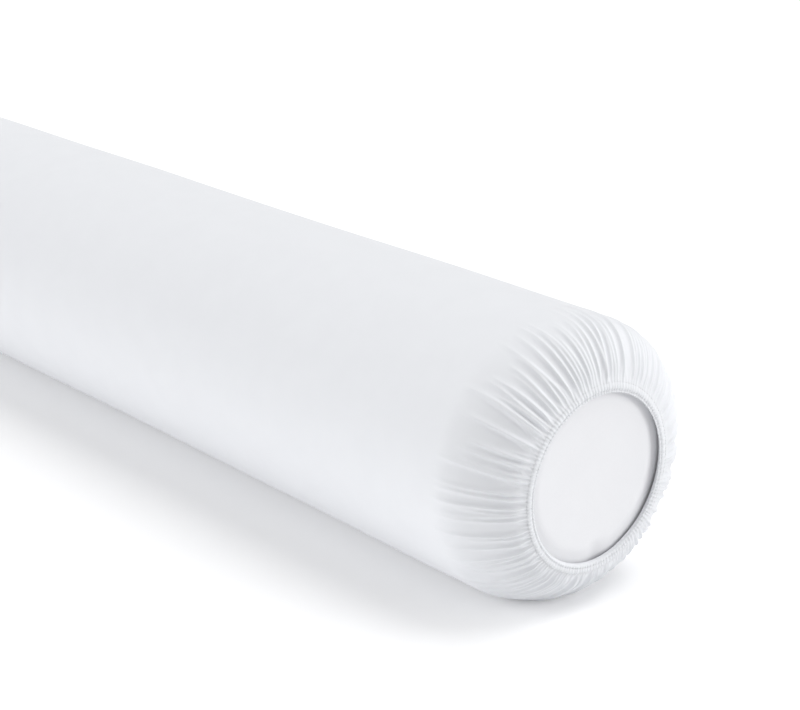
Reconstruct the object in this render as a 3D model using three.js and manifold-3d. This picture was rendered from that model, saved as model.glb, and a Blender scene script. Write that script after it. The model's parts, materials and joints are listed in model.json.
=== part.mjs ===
// A round massage bolster in a fitted jersey cover.
//
// The bolster is a foam core wrapped in polyester wadding, inside a woven case that closes with a
// zip along its side. A knitted sleeve is pulled over it, and an elastic in the hem at each end
// draws the sleeve in over the rounded shoulders, so that a round of the case's end panel shows.
//
// Millimetres. X runs along the bolster and +X is the near end, Z is up, and the origin is under
// the middle, on the flat that the soft underside makes on a table.
import * as THREE from "three";
import { mergeVertices } from "three/addons/utils/BufferGeometryUtils.js";
import Module from "manifold-3d";

// The covered bolster.
const LENGTH = 660; // over the fronts of the two hems
const RADIUS = 76.2; // of the body, outside the cover
const SHOULDER_LENGTH = 38; // from the straight body to the end, along X
const OPENING_RADIUS = 45.7; // of the opening that each hem leaves
const SAG = 3.6; // how far the underside settles under the bolster's weight

// Clearances.
const GAP = 0.3; // between two pieces that touch
const COVER_EASE = 1.2; // between the cover and the case, with room for a seam and the zip
const PANEL_SETBACK = 4; // from the hem's front back to the end panel

// The cover.
const JERSEY = 0.9; // thickness of the knit
const HEM_WIDTH = 6.4; // of the turned hem, measured radially
const HEM_POCKET = 1.2; // space for the elastic inside the hem
const HEM_FOLD = 0.6; // rounding of the folded edge
const ELASTIC_WIDTH = 4.6;
const STITCH_WIDTH = 0.5;
const STITCH_HEIGHT = 0.4;
const STITCH_INSET = 1.5; // from each edge of the hem to the row sewn along it
const SEAM_WIDTH = 5; // of the overlocked seam inside the sleeve
const SEAM_ANGLE = -130; // degrees from the top, towards the back

// The case and its filling.
const CASE = 0.7; // thickness of the woven cloth
const CASE_EASE = 0.4; // between the case and the wadding
const CASE_SEAM_TURN = 45; // degrees round the shoulder where panel and wrap are sewn together
const CASE_SEAM_SPLIT = 0.35; // degrees from that line to each cloth edge
const CASE_SEAM_WIDTH = 1;
const CASE_SEAM_DEPTH = 3.5;
const WADDING = 8;
const WADDING_SPLIT = 4; // degrees from the seam line to the edge of each wadding piece

// The zip. Radii are counted from the bolster's axis, widths run round the bolster.
const ZIP_ANGLE = 125; // degrees from the top, towards the front
const ZIP_LENGTH = 450; // of the coils between the stops
const ZIP_SLOT = 5; // half the width of the slot in the case
const ZIP_SLOT_TAIL = 6; // of slot past each end of the coils
const ZIP_TAPE = 0.6; // thickness
const ZIP_TAPE_WIDTH = 11.6;
const ZIP_TAPE_TAIL = 12; // of tape past each end of the coils
const COIL_WIDTH = 1.35;
const COIL_HEIGHT = 1.5;
const COIL_SPLIT = 0.65; // half the space between the two coils
const STOP_LENGTH = 3;
const SLIDER_LENGTH = 11;
const SLIDER_HALF_WIDTH = 3.5;
const SLIDER_PLATE = 0.85;
const SLIDER_FLANGE = 0.6;
const SLIDER_DIVIDER_LENGTH = 4;
const SLIDER_END_PLAY = 0.5; // left before the slider meets a stop
const ZIP_STITCH_OFFSET = 2; // from the slot's edge to the row that holds the tape

// Fineness of the round pieces.
const ROUND_SEGMENTS = 40;
const STRIP_FACET = 3; // widest facet of a strip
const SHOULDER_TURNS = [0, 18, 36, 54, 68]; // degrees round the shoulder
const WRAP_TURNS = [0, 15, 30];
const END_TURNS = [60, 75, 90];

const wasm = await Module();
wasm.setup();

const COLOURS = {
  jersey: { color: 0xf1f2f5, roughness: 0.92, metalness: 0 },
  elastic: { color: 0xf4f4f2, roughness: 0.8, metalness: 0 },
  thread: { color: 0xf7f7f7, roughness: 0.6, metalness: 0 },
  caseCloth: { color: 0xeeeef1, roughness: 0.85, metalness: 0 },
  zipTape: { color: 0xe9e9ea, roughness: 0.85, metalness: 0 },
  zipCoil: { color: 0xf0f0f0, roughness: 0.35, metalness: 0 },
  zipMetal: { color: 0xb9bbbe, roughness: 0.3, metalness: 0.9 },
  wadding: { color: 0xfafafa, roughness: 0.95, metalness: 0 },
  foam: { color: 0xf3efd9, roughness: 0.9, metalness: 0 },
};

const radians = THREE.MathUtils.degToRad;

// A layer of the bolster, as its depth below the cover's outside: round the body, and at the ends.
function layer(radial, axial) {
  return { radial, axial };
}

function deeper(of, depth) {
  return layer(of.radial + depth, of.axial + depth);
}

const COVER_OUTSIDE = layer(0, 0);
const COVER_INSIDE = deeper(COVER_OUTSIDE, JERSEY);
const HEM_LEAF_FRONT = deeper(COVER_INSIDE, HEM_POCKET);
const HEM_LEAF_BACK = deeper(HEM_LEAF_FRONT, JERSEY);
const CASE_OUTSIDE = layer(JERSEY + COVER_EASE, PANEL_SETBACK);
const CASE_INSIDE = deeper(CASE_OUTSIDE, CASE);
const WADDING_OUTSIDE = deeper(CASE_INSIDE, CASE_EASE);
const WADDING_INSIDE = deeper(WADDING_OUTSIDE, WADDING);
const FOAM_OUTSIDE = deeper(WADDING_INSIDE, GAP);

const SHOULDER_START = LENGTH / 2 - SHOULDER_LENGTH;
const ENDS = { near: 1, far: -1 };

// A point of a round piece's outline: its distance from the axis, and its place along the bolster.
function outlinePoint(radius, x) {
  return new THREE.Vector2(radius, x);
}

// The shoulder is a quarter ellipse from the body, at 0 degrees, to the end, at 90.
function shoulderPoint(of, turn) {
  const rise = RADIUS - OPENING_RADIUS - of.radial;
  const run = SHOULDER_LENGTH - of.axial;
  const angle = radians(turn);
  const radius = OPENING_RADIUS + rise * Math.cos(angle);
  return outlinePoint(radius, SHOULDER_START + run * Math.sin(angle));
}

// The shoulder's point at a given distance outside the opening's edge.
function shoulderPointAt(of, offset) {
  const rise = RADIUS - OPENING_RADIUS - of.radial;
  return shoulderPoint(of, THREE.MathUtils.radToDeg(Math.acos(offset / rise)));
}

function shoulderCurve(of, turns) {
  return turns.map((turn) => shoulderPoint(of, turn));
}

function mirrored(points) {
  return points.map((p) => outlinePoint(p.x, -p.y)).reverse();
}

// Turns an outline that starts and ends on the bolster's axis.
function turned(points) {
  return new THREE.LatheGeometry(points, ROUND_SEGMENTS).rotateZ(-Math.PI / 2);
}

// Turns a closed outline that stays off the axis.
function ring(points) {
  return turned([...points, points[0]]);
}

// The same ring at the other end, with its outline kept running the same way round.
function ringAt(end, points) {
  return ring(end > 0 ? points : mirrored(points));
}

// The solid body inside the near half of an outline and its mirror image, filled to the axis.
function filled(near) {
  const half = [...near, outlinePoint(0, near.at(-1).y)];
  return turned([...mirrored(half), ...half]);
}

// A strip that follows the bolster's roundness, from one width to another, centred on the middle.
function strip(innerRadius, outerRadius, from, to, length) {
  const middle = (innerRadius + outerRadius) / 2;
  const start = Math.PI / 2 - from / middle;
  const end = Math.PI / 2 - to / middle;
  const shape = new THREE.Shape();
  shape.absarc(0, 0, outerRadius, start, end, true);
  shape.absarc(0, 0, innerRadius, end, start, false);
  const curveSegments = Math.ceil((to - from) / STRIP_FACET);
  const options = { depth: length, bevelEnabled: false, curveSegments };
  const geometry = new THREE.ExtrudeGeometry(shape, options).translate(0, 0, -length / 2);
  return geometry.applyMatrix4(alongBolster());
}

// Takes a shape's own axes to the bolster's: across it, outwards, and along it.
function alongBolster() {
  return new THREE.Matrix4().makeBasis(
    new THREE.Vector3(0, 1, 0),
    new THREE.Vector3(0, 0, 1),
    new THREE.Vector3(1, 0, 0),
  );
}

function toSolid(geometry) {
  const bare = geometry.clone().deleteAttribute("normal").deleteAttribute("uv");
  const merged = mergeVertices(bare, 1e-4);
  return new wasm.Manifold(
    new wasm.Mesh({
      numProp: 3,
      vertProperties: merged.getAttribute("position").array,
      triVerts: new Uint32Array(merged.index.array),
    }),
  );
}

function toGeometry(solid) {
  const mesh = solid.getMesh();
  const geometry = new THREE.BufferGeometry();
  geometry.setAttribute("position", new THREE.BufferAttribute(mesh.vertProperties, 3));
  geometry.setIndex(new THREE.BufferAttribute(mesh.triVerts, 1));
  geometry.computeVertexNormals();
  return geometry;
}

function cut(geometry, cutters) {
  return toGeometry(cutters.reduce((left, c) => left.subtract(toSolid(c)), toSolid(geometry)));
}

function joined(geometries) {
  const solids = geometries.map(toSolid);
  return toGeometry(solids.slice(1).reduce((sum, s) => sum.add(s), solids[0]));
}

// The part of a solid above the flat underside of a layer.
function aboveFlat(solid, of) {
  const top = SAG - RADIUS + of.radial;
  const block = new THREE.BoxGeometry(2 * LENGTH, 4 * RADIUS, RADIUS);
  return solid.subtract(toSolid(block.translate(0, 0, top - RADIUS / 2)));
}

// A hollow round piece with its underside pressed flat: its wall is cut off at the flat and closed
// there by a floor as thick as the wall. The whole is the same piece filled to the axis.
function settled(hollow, whole, outside, inside) {
  const wall = aboveFlat(toSolid(hollow), outside);
  const body = aboveFlat(toSolid(whole), outside);
  return toGeometry(wall.add(body.subtract(aboveFlat(body, inside))));
}

function piece(parent, name, geometry, finish) {
  const mesh = new THREE.Mesh(geometry, new THREE.MeshStandardMaterial(COLOURS[finish]));
  mesh.name = name;
  parent.add(mesh);
  return mesh;
}

// The sleeve's cut edge is folded back round the elastic, so each hem is a pocket open inwards.
function hemOutline() {
  const end = LENGTH / 2;
  const bottom = OPENING_RADIUS + JERSEY;
  const leafBack = end - HEM_LEAF_BACK.axial;
  return [
    shoulderPointAt(COVER_OUTSIDE, HEM_WIDTH),
    outlinePoint(OPENING_RADIUS + HEM_FOLD, end),
    outlinePoint(OPENING_RADIUS, end - HEM_FOLD),
    outlinePoint(OPENING_RADIUS, leafBack + HEM_FOLD),
    outlinePoint(OPENING_RADIUS + HEM_FOLD, leafBack),
    shoulderPointAt(HEM_LEAF_BACK, HEM_WIDTH),
    shoulderPointAt(HEM_LEAF_FRONT, HEM_WIDTH),
    outlinePoint(bottom, end - HEM_LEAF_FRONT.axial),
    outlinePoint(bottom, end - COVER_INSIDE.axial),
    shoulderPointAt(COVER_INSIDE, HEM_WIDTH),
  ];
}

function wholeSleeve() {
  const outside = shoulderCurve(COVER_OUTSIDE, SHOULDER_TURNS);
  const inside = shoulderCurve(COVER_INSIDE, SHOULDER_TURNS);
  const nearHalf = [...outside, ...hemOutline(), ...inside.reverse()];
  const hollow = ring([...nearHalf, ...mirrored(nearHalf)]);
  return settled(hollow, filled(outside), COVER_OUTSIDE, COVER_INSIDE);
}

// The length of a solid between two places along the bolster.
function lengthOf(geometry, from, to) {
  const block = new THREE.BoxGeometry(to - from, 4 * RADIUS, 4 * RADIUS);
  const slice = toSolid(block.translate((from + to) / 2, 0, 0));
  return toGeometry(toSolid(geometry).intersect(slice));
}

// The sleeve is one length of jersey. The gathered border at each end is a node of its own.
function sleeveParts() {
  const whole = wholeSleeve();
  const tube = SHOULDER_START - GAP / 2;
  const border = SHOULDER_START + GAP / 2;
  return {
    cover_sleeve: lengthOf(whole, -tube, tube),
    cover_gather_near: lengthOf(whole, border, LENGTH),
    cover_gather_far: lengthOf(whole, -LENGTH, -border),
  };
}

function hemElastic(end) {
  const bottom = JERSEY + GAP;
  const top = bottom + ELASTIC_WIDTH;
  const front = deeper(COVER_INSIDE, GAP);
  const back = deeper(COVER_INSIDE, HEM_POCKET - GAP);
  return ringAt(end, [
    shoulderPointAt(front, top),
    shoulderPointAt(front, bottom),
    shoulderPointAt(back, bottom),
    shoulderPointAt(back, top),
  ]);
}

// The twin needle's two rows, by their distance from the opening's edge.
const STITCH_ROWS = { inner: STITCH_INSET, outer: HEM_WIDTH - STITCH_INSET };

// One sewn row of the hem, lying on its front.
function hemStitch(end, offset) {
  const back = shoulderPointAt(COVER_OUTSIDE, offset).y + GAP;
  const bottom = OPENING_RADIUS + offset - STITCH_WIDTH / 2;
  const top = bottom + STITCH_WIDTH;
  return ringAt(end, [
    outlinePoint(top, back + STITCH_HEIGHT),
    outlinePoint(bottom, back + STITCH_HEIGHT),
    outlinePoint(bottom, back),
    outlinePoint(top, back),
  ]);
}

// The sleeve's lengthwise seam: the joined and overlocked edges lying flat inside it.
function coverSeam() {
  const inner = RADIUS - CASE_OUTSIDE.radial + GAP;
  const outer = inner + STITCH_HEIGHT;
  return strip(inner, outer, -SEAM_WIDTH / 2, SEAM_WIDTH / 2, 2 * SHOULDER_START);
}

function addCover(bolster) {
  const cover = new THREE.Group();
  bolster.add(cover);
  for (const [name, part] of Object.entries(sleeveParts())) {
    piece(cover, name, part, "jersey");
  }
  const seam = piece(cover, "cover_side_seam", coverSeam(), "thread");
  seam.rotation.x = radians(SEAM_ANGLE);
  for (const [end, side] of Object.entries(ENDS)) {
    piece(cover, `hem_elastic_${end}`, hemElastic(side), "elastic");
    for (const [row, offset] of Object.entries(STITCH_ROWS)) {
      piece(cover, `hem_stitch_${row}_${end}`, hemStitch(side, offset), "thread");
    }
  }
}

// The edges, in degrees round the shoulder, of the cloth and of the wadding at their seams.
const CASE_WRAP_EDGE = CASE_SEAM_TURN - CASE_SEAM_SPLIT;
const CASE_END_EDGE = CASE_SEAM_TURN + CASE_SEAM_SPLIT;
const WADDING_WRAP_EDGE = CASE_SEAM_TURN - WADDING_SPLIT;
const WADDING_END_EDGE = CASE_SEAM_TURN + WADDING_SPLIT;

// A tube that ends part of the way round both shoulders.
function openTube(outside, inside, turns) {
  const outer = shoulderCurve(outside, turns);
  const inner = shoulderCurve(inside, turns).reverse();
  const near = [...outer, ...inner];
  const hollow = ring([...near, ...mirrored(near)]);
  return settled(hollow, filled([...outer, inner[0]]), outside, inside);
}

// A dished round that closes an end, from part of the way round the shoulder to the axis.
function dishedEnd(end, outside, inside, turns) {
  const outer = shoulderCurve(outside, turns);
  const inner = shoulderCurve(inside, turns);
  const outline = [
    outlinePoint(0, inner.at(-1).y),
    ...inner.reverse(),
    ...outer,
    outlinePoint(0, outer.at(-1).y),
  ];
  return turned(end > 0 ? outline : mirrored(outline));
}

function zipSlotCutter() {
  const inner = RADIUS - CASE_INSIDE.radial - CASE;
  const outer = RADIUS - CASE_OUTSIDE.radial + CASE;
  const slot = strip(inner, outer, -ZIP_SLOT, ZIP_SLOT, ZIP_LENGTH + 2 * ZIP_SLOT_TAIL);
  return slot.rotateX(radians(ZIP_ANGLE));
}

function caseWrap() {
  const tube = openTube(CASE_OUTSIDE, CASE_INSIDE, [...WRAP_TURNS, CASE_WRAP_EDGE]);
  return cut(tube, [zipSlotCutter()]);
}

function caseEnd(end) {
  return dishedEnd(end, CASE_OUTSIDE, CASE_INSIDE, [CASE_END_EDGE, ...END_TURNS]);
}

// The turned-in, overlocked edges where an end panel is sewn to the wrap.
function caseSeam(end) {
  const top = deeper(CASE_INSIDE, GAP);
  const bottom = deeper(top, CASE_SEAM_DEPTH);
  const from = shoulderPoint(top, CASE_SEAM_TURN);
  const to = shoulderPoint(bottom, CASE_SEAM_TURN);
  const inwards = to.clone().sub(from).normalize();
  const aside = new THREE.Vector2(-inwards.y, inwards.x).multiplyScalar(CASE_SEAM_WIDTH / 2);
  return ringAt(end, [
    from.clone().add(aside),
    from.clone().sub(aside),
    to.clone().sub(aside),
    to.clone().add(aside),
  ]);
}

// The zip's radii, worked out from the case that it closes.
const TAPE_OUTER = RADIUS - CASE_INSIDE.radial - GAP;
const TAPE_INNER = TAPE_OUTER - ZIP_TAPE;
const TAPE_START = COIL_SPLIT + COIL_WIDTH + GAP;
const TAPE_END = TAPE_START + ZIP_TAPE_WIDTH;
const TAPE_LENGTH = ZIP_LENGTH + 2 * ZIP_TAPE_TAIL;
const COIL_INNER = TAPE_INNER - GAP;
const COIL_OUTER = COIL_INNER + COIL_HEIGHT;
const PLATE_BOTTOM = COIL_INNER - GAP;
const PLATE_TOP = COIL_OUTER + GAP;
const SLIDER_REST = (ZIP_LENGTH - SLIDER_LENGTH) / 2 - SLIDER_END_PLAY;

function zipTape(side) {
  const [from, to] = side > 0 ? [TAPE_START, TAPE_END] : [-TAPE_END, -TAPE_START];
  return strip(TAPE_INNER, TAPE_OUTER, from, to, TAPE_LENGTH);
}

function zipCoil(side) {
  const far = COIL_SPLIT + COIL_WIDTH;
  const [from, to] = side > 0 ? [COIL_SPLIT, far] : [-far, -COIL_SPLIT];
  return strip(COIL_INNER, COIL_OUTER, from, to, ZIP_LENGTH);
}

function zipStitch(side) {
  const inner = RADIUS - CASE_OUTSIDE.radial + GAP;
  const middle = side * (ZIP_SLOT + ZIP_STITCH_OFFSET);
  const [from, to] = [middle - STITCH_WIDTH / 2, middle + STITCH_WIDTH / 2];
  return strip(inner, inner + GAP, from, to, TAPE_LENGTH);
}

function zipStop(side) {
  const width = 2 * (COIL_SPLIT + COIL_WIDTH);
  const centre = side * ((ZIP_LENGTH + STOP_LENGTH) / 2 + GAP);
  const box = new THREE.BoxGeometry(STOP_LENGTH, width, COIL_HEIGHT);
  return box.translate(centre, 0, COIL_INNER + COIL_HEIGHT / 2);
}

// A block of the slider, from one height to another above the bolster's axis.
function sliderBlock(length, from, to, low, high, centre = 0) {
  const box = new THREE.BoxGeometry(length, to - from, high - low);
  return box.translate(centre, (from + to) / 2, (low + high) / 2);
}

// A plate of the slider: wide where the coils enter apart, narrower where they leave joined.
function sliderPlate(low, thickness) {
  const half = SLIDER_LENGTH / 2;
  const nose = SLIDER_HALF_WIDTH / 2;
  const waist = SLIDER_HALF_WIDTH - SLIDER_FLANGE;
  const shape = new THREE.Shape();
  shape.moveTo(-half, -waist);
  shape.lineTo(0, -SLIDER_HALF_WIDTH);
  shape.lineTo(half - nose, -SLIDER_HALF_WIDTH);
  shape.quadraticCurveTo(half, -SLIDER_HALF_WIDTH, half, -nose);
  shape.lineTo(half, nose);
  shape.quadraticCurveTo(half, SLIDER_HALF_WIDTH, half - nose, SLIDER_HALF_WIDTH);
  shape.lineTo(0, SLIDER_HALF_WIDTH);
  shape.lineTo(-half, waist);
  const options = { depth: thickness, bevelEnabled: false, curveSegments: 5 };
  return new THREE.ExtrudeGeometry(shape, options).translate(0, 0, low);
}

// Two plates joined by the divider that runs between the coils, with flanges beside the tapes.
function zipSlider() {
  const overlap = SLIDER_PLATE / 2;
  const flangeLength = SLIDER_LENGTH / 2 - SLIDER_FLANGE;
  const flangeCentre = flangeLength / 2;
  const flangeStart = SLIDER_HALF_WIDTH - SLIDER_FLANGE;
  const dividerHalf = COIL_SPLIT - GAP;
  const dividerCentre = (SLIDER_LENGTH - SLIDER_DIVIDER_LENGTH) / 2 - SLIDER_FLANGE;
  const divider = [PLATE_BOTTOM - overlap, PLATE_TOP + overlap, dividerCentre];
  const blocks = [
    sliderPlate(PLATE_TOP, SLIDER_PLATE),
    sliderPlate(PLATE_BOTTOM - SLIDER_PLATE, SLIDER_PLATE),
    sliderBlock(SLIDER_DIVIDER_LENGTH, -dividerHalf, dividerHalf, ...divider),
  ];
  for (const side of [-1, 1]) {
    const edges = [side * flangeStart, side * SLIDER_HALF_WIDTH].sort((a, b) => a - b);
    const above = [TAPE_OUTER + GAP, PLATE_TOP + overlap, flangeCentre];
    const below = [PLATE_BOTTOM - overlap, TAPE_INNER - GAP, flangeCentre];
    blocks.push(sliderBlock(flangeLength, ...edges, ...above));
    blocks.push(sliderBlock(flangeLength, ...edges, ...below));
  }
  return joined(blocks);
}

function addZip(bolster) {
  const zip = new THREE.Group();
  zip.rotation.x = radians(ZIP_ANGLE);
  bolster.add(zip);
  for (const [name, side] of Object.entries({ upper: -1, lower: 1 })) {
    piece(zip, `zip_tape_${name}`, zipTape(side), "zipTape");
    piece(zip, `zip_coil_${name}`, zipCoil(side), "zipCoil");
    piece(zip, `zip_stitch_${name}`, zipStitch(side), "thread");
  }
  for (const [end, side] of Object.entries(ENDS)) {
    piece(zip, `zip_stop_${end}`, zipStop(side), "zipMetal");
  }
  const slider = piece(zip, "zip_slider", zipSlider(), "zipMetal");
  slider.position.x = SLIDER_REST;
}

// The space that the zip presses into the wadding: shallow under the tapes, deep under the slider.
function zipChannels() {
  const outer = RADIUS - CASE_INSIDE.radial;
  const half = TAPE_END + GAP;
  const deepHalf = SLIDER_HALF_WIDTH + GAP;
  const length = TAPE_LENGTH + 2 * GAP;
  const shallow = strip(TAPE_INNER - GAP, outer, -half, half, length);
  const deep = strip(PLATE_BOTTOM - SLIDER_PLATE - GAP, outer, -deepHalf, deepHalf, length);
  return [shallow, deep].map((channel) => channel.rotateX(radians(ZIP_ANGLE)));
}

function waddingWrap() {
  const tube = openTube(WADDING_OUTSIDE, WADDING_INSIDE, [...WRAP_TURNS, WADDING_WRAP_EDGE]);
  return cut(tube, zipChannels());
}

function waddingEnd(end) {
  return dishedEnd(end, WADDING_OUTSIDE, WADDING_INSIDE, [WADDING_END_EDGE, ...END_TURNS]);
}

function foamCore() {
  const turns = [...WRAP_TURNS, WADDING_WRAP_EDGE, WADDING_END_EDGE, ...END_TURNS];
  const whole = filled(shoulderCurve(FOAM_OUTSIDE, turns));
  return toGeometry(aboveFlat(toSolid(whole), FOAM_OUTSIDE));
}

function addInnerBolster(bolster) {
  const inner = new THREE.Group();
  bolster.add(inner);
  piece(inner, "foam_core", foamCore(), "foam");
  piece(inner, "wadding_wrap", waddingWrap(), "wadding");
  piece(inner, "case_wrap", caseWrap(), "caseCloth");
  for (const [end, side] of Object.entries(ENDS)) {
    piece(inner, `wadding_end_${end}`, waddingEnd(side), "wadding");
    piece(inner, `case_end_${end}`, caseEnd(side), "caseCloth");
    piece(inner, `case_seam_${end}`, caseSeam(side), "thread");
  }
}

const bolster = new THREE.Group();
bolster.position.z = RADIUS - SAG;
addInnerBolster(bolster);
addZip(bolster);
addCover(bolster);

export default bolster;
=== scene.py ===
"""A round bolster in a fitted knitted cover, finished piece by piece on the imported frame."""

import json
import logging
import math
from dataclasses import dataclass, field
from enum import Enum
from typing import Callable, ClassVar, Mapping, Protocol, Sequence

import bmesh
import bpy
import numpy as np
from mathutils import Matrix, Vector

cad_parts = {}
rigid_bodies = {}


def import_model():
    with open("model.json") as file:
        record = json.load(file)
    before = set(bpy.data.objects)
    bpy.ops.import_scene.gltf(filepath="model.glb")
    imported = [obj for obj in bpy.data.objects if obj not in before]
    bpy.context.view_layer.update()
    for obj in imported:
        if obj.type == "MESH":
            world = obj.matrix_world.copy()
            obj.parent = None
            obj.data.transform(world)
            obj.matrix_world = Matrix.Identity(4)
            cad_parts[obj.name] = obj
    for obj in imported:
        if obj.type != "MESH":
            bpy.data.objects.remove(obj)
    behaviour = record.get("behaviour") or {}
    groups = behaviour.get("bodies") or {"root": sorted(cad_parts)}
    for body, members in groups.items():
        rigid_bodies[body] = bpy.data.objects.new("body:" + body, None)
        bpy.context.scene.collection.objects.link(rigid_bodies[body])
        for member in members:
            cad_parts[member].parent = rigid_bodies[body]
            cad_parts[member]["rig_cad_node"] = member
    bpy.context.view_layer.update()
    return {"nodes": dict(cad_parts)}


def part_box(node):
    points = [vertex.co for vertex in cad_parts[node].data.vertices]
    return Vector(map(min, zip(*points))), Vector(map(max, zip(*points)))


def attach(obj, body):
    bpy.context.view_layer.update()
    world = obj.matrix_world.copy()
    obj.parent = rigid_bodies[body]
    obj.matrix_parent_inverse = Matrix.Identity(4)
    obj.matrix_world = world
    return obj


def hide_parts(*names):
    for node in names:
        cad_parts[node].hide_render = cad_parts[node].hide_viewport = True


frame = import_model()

LOG = logging.getLogger("bolster")
MM = 0.001
UP = Vector((0.0, 0.0, 1.0))
BATCH = 24
WELD = 1e-6
Colour = tuple[float, float, float]
Array = np.ndarray


class End(Enum):
    """The bolster's two ends, by their side along X."""

    NEAR = 1.0
    FAR = -1.0

    @property
    def label(self) -> str:
        """The end's name as the frame's nodes spell it."""
        return self.name.lower()


class Body(Enum):
    """The frame's bodies that finished pieces are fixed to."""

    INNER = "inner_bolster"
    COVER = "cover"


# ---------------------------------------------------------------- shader graphs


class Socket:
    """A shader socket that takes part in Python arithmetic."""

    def __init__(self, graph: "Graph", link: bpy.types.NodeSocket) -> None:
        """Keeps the socket, and the graph that its Math nodes go into."""
        self.graph = graph
        self.link = link

    def __add__(self, other: "Socket | float") -> "Socket":
        """This value plus another."""
        return self.graph.maths("ADD", self, other)

    def __sub__(self, other: "Socket | float") -> "Socket":
        """This value less another."""
        return self.graph.maths("SUBTRACT", self, other)

    def __rsub__(self, other: "Socket | float") -> "Socket":
        """Another value less this one."""
        return self.graph.maths("SUBTRACT", other, self)

    def __mul__(self, other: "Socket | float") -> "Socket":
        """This value times another."""
        return self.graph.maths("MULTIPLY", self, other)

    def __truediv__(self, other: "Socket | float") -> "Socket":
        """This value divided by another."""
        return self.graph.maths("DIVIDE", self, other)

    def __pow__(self, other: "Socket | float") -> "Socket":
        """This value to a power."""
        return self.graph.maths("POWER", self, other)

    __radd__ = __add__
    __rmul__ = __mul__

    def sine(self) -> "Socket":
        """The sine of this value."""
        return self.graph.maths("SINE", self)

    def fraction(self) -> "Socket":
        """What is left of this value above its whole number."""
        return self.graph.maths("FRACT", self)

    def size(self) -> "Socket":
        """This value without its sign."""
        return self.graph.maths("ABSOLUTE", self)

    def at_least(self, other: "Socket | float") -> "Socket":
        """The larger of this value and another."""
        return self.graph.maths("MAXIMUM", self, other)


Input = Socket | float | Colour | tuple[float, float, float, float]


class Graph:
    """The node graph of one material."""

    def __init__(self, name: str) -> None:
        """Starts an empty graph in a new material of that name.

        Args:
            name: the material's name.
        """
        self.material = bpy.data.materials.new(name)
        self.material.use_nodes = True
        self.tree = self.material.node_tree
        self.tree.nodes.clear()

    def add(
        self,
        kind: str,
        settings: Mapping[str, object] | None = None,
        inputs: Mapping[int | str, Input] | None = None,
        output: int | str = 0,
    ) -> Socket:
        """Adds one node.

        Args:
            kind: the node's type.
            settings: its own settings, set first.
            inputs: a value or a socket for each of its inputs, by name or number.
            output: which of its outputs to give back.

        Returns:
            The output, ready for arithmetic.
        """
        node = self.tree.nodes.new(kind)
        for name, value in (settings or {}).items():
            setattr(node, name, value)
        for key, value in (inputs or {}).items():
            if isinstance(value, Socket):
                self.tree.links.new(value.link, node.inputs[key])
            elif isinstance(value, tuple) and len(value) == 3 and node.inputs[key].type == "RGBA":
                node.inputs[key].default_value = (*value, 1.0)
            else:
                node.inputs[key].default_value = value
        return Socket(self, node.outputs[output])

    def other_output(self, socket: Socket, output: int | str) -> Socket:
        """Another output of the node that a socket belongs to."""
        return Socket(self, socket.link.node.outputs[output])

    def maths(self, operation: str, *values: Socket | float) -> Socket:
        """A Math node on some values."""
        return self.add("ShaderNodeMath", {"operation": operation}, dict(enumerate(values)))

    def mixed(self, share: Socket, low: Input, high: Input) -> Socket:
        """A colour between two others, by the share of the second."""
        return self.add("ShaderNodeMix", {"data_type": "RGBA"}, {0: share, 6: low, 7: high}, 2)

    def place(self) -> Socket:
        """The point's place in the bolster's own frame, in metres."""
        return self.add("ShaderNodeTexCoord", output="Object")

    def cloth_place(self) -> tuple[Socket, Socket]:
        """The point's place on the flat cloth, in metres round it and along it.

        Returns:
            The distance round the cloth, and the distance along it.
        """
        flat = self.add("ShaderNodeUVMap", {"uv_map": "cloth"})
        across = self.add("ShaderNodeSeparateXYZ", inputs={0: flat}, output="X")
        return across, self.other_output(across, "Y")

    def noise(self, place: Socket, scale: float, detail: float = 2.0) -> Socket:
        """Soft noise from 0 to 1, with features about 1 / scale metres across."""
        inputs = {"Vector": place, "Scale": scale, "Detail": detail}
        return self.add("ShaderNodeTexNoise", inputs=inputs, output="Fac")

    def relief(self, height: Socket, depth: float, under: Socket | None = None) -> Socket:
        """A bump of that height from 0 to 1, times its depth in metres.

        Args:
            height: the height at each point.
            depth: how far the highest point stands out.
            under: a coarser relief that this one lies on.

        Returns:
            The bumped normal.
        """
        inputs: dict[int | str, Input] = {"Strength": 1.0, "Distance": depth, "Height": height}
        if under is not None:
            inputs["Normal"] = under
        return self.add("ShaderNodeBump", inputs=inputs)

    def finish(self, inputs: Mapping[int | str, Input]) -> bpy.types.Material:
        """Ends the graph in one shader.

        Args:
            inputs: the shader's own inputs.

        Returns:
            The finished material.
        """
        shader = self.add("ShaderNodeBsdfPrincipled", inputs=inputs)
        surface = self.tree.nodes.new("ShaderNodeOutputMaterial").inputs["Surface"]
        self.tree.links.new(shader.link, surface)
        return self.material


class Finish(Protocol):
    """Anything that can make the material of a piece."""

    slot: ClassVar[str]

    def material(self) -> bpy.types.Material:
        """The finish as a material."""


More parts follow.
